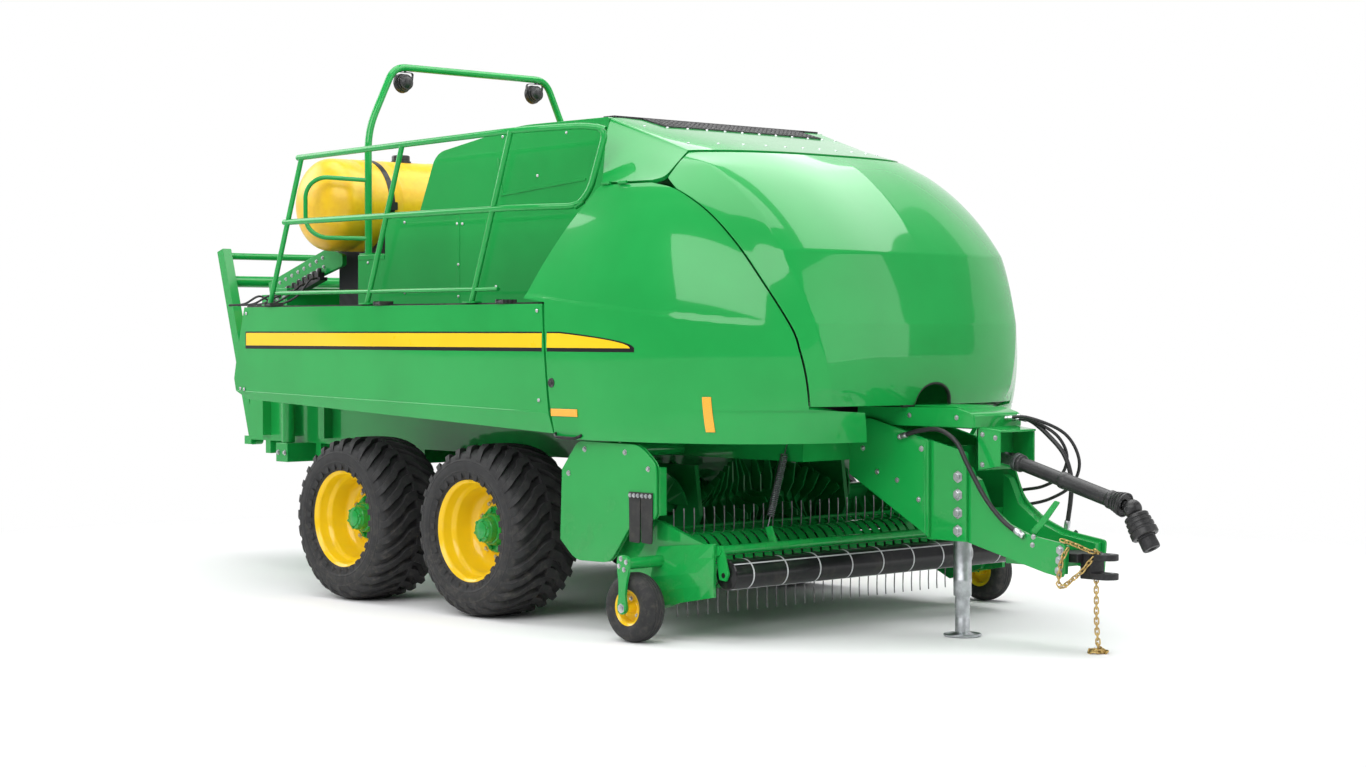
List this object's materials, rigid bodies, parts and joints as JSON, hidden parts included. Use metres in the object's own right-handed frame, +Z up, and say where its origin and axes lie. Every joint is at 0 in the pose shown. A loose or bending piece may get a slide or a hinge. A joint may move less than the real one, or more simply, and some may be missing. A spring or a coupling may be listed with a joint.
{
  "type": "large square baler",
  "caption": "Trailed large square baler on a tandem axle: tined pickup, feed rotor, bale chamber, opening panels, folding bale chute, power take-off shaft and parking jack.",
  "frame": {"origin": "on the ground under the middle of the overall length and width", "axes": "+X forward to the hitch, +Y to the left, +Z up"},
  "size_m": [7.9164, 3.15, 3.4569],
  "materials": {
    "tyre": "black rubber with lugs",
    "wheel_yellow": "gloss yellow paint",
    "body_green": "gloss green paint",
    "frame_dark": "dark grey paint",
    "feed_green": "green paint",
    "bare_steel": "bright steel",
    "black_plastic": "black plastic",
    "black_rubber": "black rubber",
    "tank_yellow": "yellow moulded plastic",
    "chain_zinc": "yellow passivated zinc",
    "cast_black": "black casting"
  },
  "bodies": {
    "chassis": {"bogies": "frame_dark", "axle": "frame_dark", "chamber_floor": "body_green", "chamber_side_right": "body_green", "chamber_side_left": "body_green", "chamber_top": "body_green", "front_frame": "body_green", "feed_duct": "feed_green", "guard_plates": "body_green", "flaps": "black_rubber", "float_spring": "bare_steel", "tongue": "body_green", "hitch_clevis": "cast_black", "safety_chain": "chain_zinc", "jack_tube": "bare_steel", "pto_holder": "body_green", "gearbox_cover": "body_green", "gearbox_block": "frame_dark", "hose_near": "black_rubber", "hose_far": "black_rubber", "cowl": "body_green", "bulkheads": "body_green", "vent": "black_plastic", "upper_housing": "body_green", "platform": "frame_dark", "rails": "body_green", "light_hoop": "body_green", "lamps": "black_plastic", "tank": "tank_yellow", "tank_cradle": "frame_dark", "press_frame": "body_green"},
    "wheel_fr": {"tyre_fr": "tyre", "wheel_fr": "wheel_yellow"},
    "wheel_rr": {"tyre_rr": "tyre", "wheel_rr": "wheel_yellow"},
    "wheel_fl": {"tyre_fl": "tyre", "wheel_fl": "wheel_yellow"},
    "wheel_rl": {"tyre_rl": "tyre", "wheel_rl": "wheel_yellow"},
    "pickup": {"pickup_frame": "body_green", "windguard": "body_green", "gauge_arms": "body_green"},
    "reel": {"pickup_reel": "bare_steel"},
    "roller": {"windguard_roller": "black_plastic"},
    "gauge_right": {"gauge_tyre_right": "tyre", "gauge_rim_right": "wheel_yellow"},
    "gauge_left": {"gauge_tyre_left": "tyre", "gauge_rim_left": "wheel_yellow"},
    "rotor": {"feed_rotor": "feed_green"},
    "jack": {"jack_leg": "bare_steel"},
    "pto": {"pto_shaft": "black_plastic"},
    "pto_end": {"pto_yoke": "black_plastic"},
    "hood": {"hood": "body_green"},
    "door_right": {"front_door_right": "body_green"},
    "door_left": {"front_door_left": "body_green"},
    "shield_right": {"rear_shield_right": "body_green"},
    "shield_left": {"rear_shield_left": "body_green"},
    "chute": {"chute": "body_green"}
  },
  "joints": [
    {"name": "wheel_fr_spin", "type": "hinge", "parent": "chassis", "child": "wheel_fr", "pos_m": [0.086, -1.214, 0.51], "axis": [0, 1, 0], "continuous": true},
    {"name": "wheel_rr_spin", "type": "hinge", "parent": "chassis", "child": "wheel_rr", "pos_m": [-1.198, -1.214, 0.51], "axis": [0, 1, 0], "continuous": true},
    {"name": "wheel_fl_spin", "type": "hinge", "parent": "chassis", "child": "wheel_fl", "pos_m": [0.086, 1.214, 0.51], "axis": [0, 1, 0], "continuous": true},
    {"name": "wheel_rl_spin", "type": "hinge", "parent": "chassis", "child": "wheel_rl", "pos_m": [-1.198, 1.214, 0.51], "axis": [0, 1, 0], "continuous": true},
    {"name": "pickup_lift", "type": "hinge", "parent": "chassis", "child": "pickup", "pos_m": [0.944, 0, 0.68], "axis": [0, -1, 0], "range_deg": [0, 14], "deforming": ["float_spring"]},
    {"name": "reel_spin", "type": "hinge", "parent": "pickup", "child": "reel", "pos_m": [1.524, 0, 0.4], "axis": [0, 1, 0], "continuous": true},
    {"name": "roller_spin", "type": "hinge", "parent": "pickup", "child": "roller", "pos_m": [1.984, 0, 0.37], "axis": [0, 1, 0], "continuous": true},
    {"name": "gauge_right_spin", "type": "hinge", "parent": "pickup", "child": "gauge_right", "pos_m": [1.584, -1.47, 0.19], "axis": [0, 1, 0], "continuous": true},
    {"name": "gauge_left_spin", "type": "hinge", "parent": "pickup", "child": "gauge_left", "pos_m": [1.584, 1.47, 0.19], "axis": [0, 1, 0], "continuous": true},
    {"name": "rotor_spin", "type": "hinge", "parent": "chassis", "child": "rotor", "pos_m": [0.944, 0, 0.68], "axis": [0, 1, 0], "continuous": true},
    {"name": "jack_slide", "type": "slide", "parent": "chassis", "child": "jack", "axis": [0, 0, 1], "range_m": [0, 0.165]},
    {"name": "pto_lift", "type": "hinge", "parent": "chassis", "child": "pto", "pos_m": [2.954, 0, 1], "axis": [0, -1, 0], "range_deg": [0, 20]},
    {"name": "pto_end_swing", "type": "hinge", "parent": "pto", "child": "pto_end", "pos_m": [3.794, 0, 0.765], "axis": [0, -1, 0], "range_deg": [0, 40]},
    {"name": "hood_open", "type": "hinge", "parent": "chassis", "child": "hood", "pos_m": [1.40202, 0, 2.702], "axis": [0, -1, 0], "range_deg": [0, 50]},
    {"name": "door_right_open", "type": "hinge", "parent": "chassis", "child": "door_right", "pos_m": [1.064, -1.15974, 2.521], "axis": [-1, 0, 0], "range_deg": [0, 65]},
    {"name": "door_left_open", "type": "hinge", "parent": "chassis", "child": "door_left", "pos_m": [1.064, 1.15974, 2.521], "axis": [1, 0, 0], "range_deg": [0, 65]},
    {"name": "shield_right_open", "type": "hinge", "parent": "chassis", "child": "shield_right", "pos_m": [-0.856, -1.404, 1.854], "axis": [-1, 0, 0], "range_deg": [0, 75]},
    {"name": "shield_left_open", "type": "hinge", "parent": "chassis", "child": "shield_left", "pos_m": [-0.856, 1.404, 1.854], "axis": [1, 0, 0], "range_deg": [0, 75]},
    {"name": "chute_lower", "type": "hinge", "parent": "chassis", "child": "chute", "pos_m": [-3.501, 0, 0.905], "axis": [0, -1, 0], "range_deg": [0, 80]}
  ]
}
